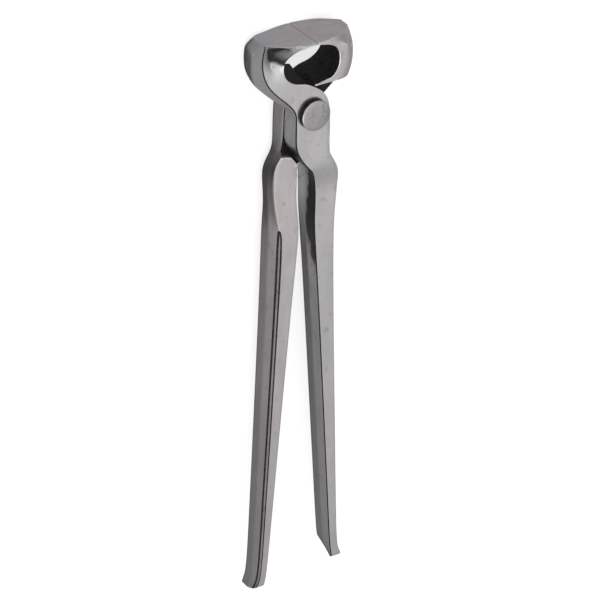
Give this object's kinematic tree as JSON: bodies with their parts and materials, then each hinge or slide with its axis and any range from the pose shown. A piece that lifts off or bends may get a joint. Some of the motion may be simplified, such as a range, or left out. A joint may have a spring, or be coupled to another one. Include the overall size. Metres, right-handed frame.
{
  "type": "hoof nipper",
  "caption": "Crossing pincer for trimming hooves: a blunt domed head with closed straight cutting edges, an arched hollow behind them, a riveted lap joint and long tapering reins.",
  "frame": {"origin": "middle of the underside of the tool's box, with the tool lying flat and its jaws closed", "axes": "+Y from the reins to the cutting edges, +Z along the rivet's axis towards its head, +X completes the frame and is the way the rear half's jaw lies from the seam"},
  "size_m": [0.068, 0.3602, 0.0329],
  "materials": {
    "front_steel": "satin",
    "rear_steel": "satin",
    "rivet_steel": "hammered"
  },
  "bodies": {
    "rear": {"rear_half": "rear_steel", "pivot_rivet": "rivet_steel"},
    "front": {"front_half": "front_steel"}
  },
  "joints": [
    {"name": "rivet_hinge", "type": "hinge", "parent": "rear", "child": "front", "pos_m": [0.00183, 0.13331, 0.016], "axis": [0, 0, 1], "range_deg": [0, 50]}
  ]
}
